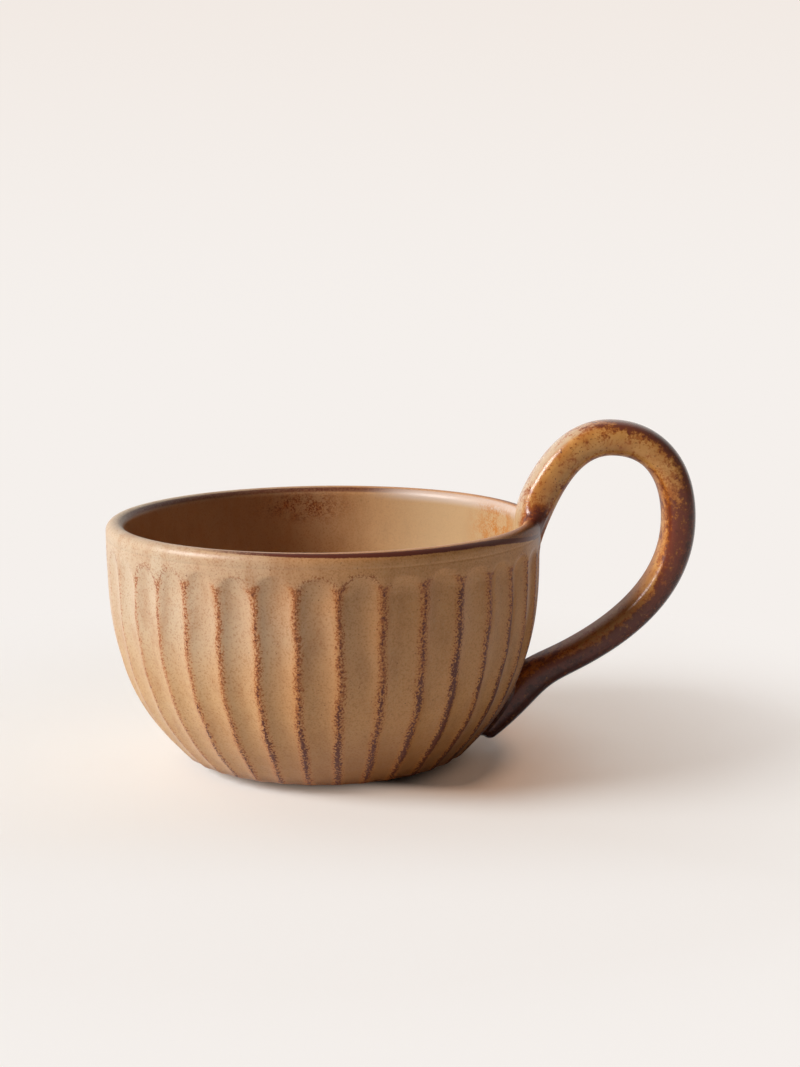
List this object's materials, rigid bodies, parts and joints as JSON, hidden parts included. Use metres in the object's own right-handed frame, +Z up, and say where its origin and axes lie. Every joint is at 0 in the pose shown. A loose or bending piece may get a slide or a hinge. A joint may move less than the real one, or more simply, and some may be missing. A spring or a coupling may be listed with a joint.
{
  "type": "cup",
  "caption": "Hand-thrown stoneware cup with carved vertical flutes, a rounded rim, a low foot and a looped strap handle that rises above the rim.",
  "frame": {"origin": "centre of the foot's resting face, on the bowl's axis at the table", "axes": "+Z up along the bowl's axis, +X from the bowl to the handle, -Y to the side that the picture shows"},
  "size_m": [0.1563, 0.1152, 0.0908],
  "materials": {
    "tan_glaze": "satin",
    "bare_clay": "matte",
    "amber_glaze": "satin",
    "slip_glaze": "satin",
    "iron_glaze": "satin"
  },
  "bodies": {
    "root": {"bowl": "tan_glaze", "foot": "bare_clay", "handle": "amber_glaze", "upper_joint": "slip_glaze", "lower_joint": "iron_glaze"}
  },
  "joints": []
}
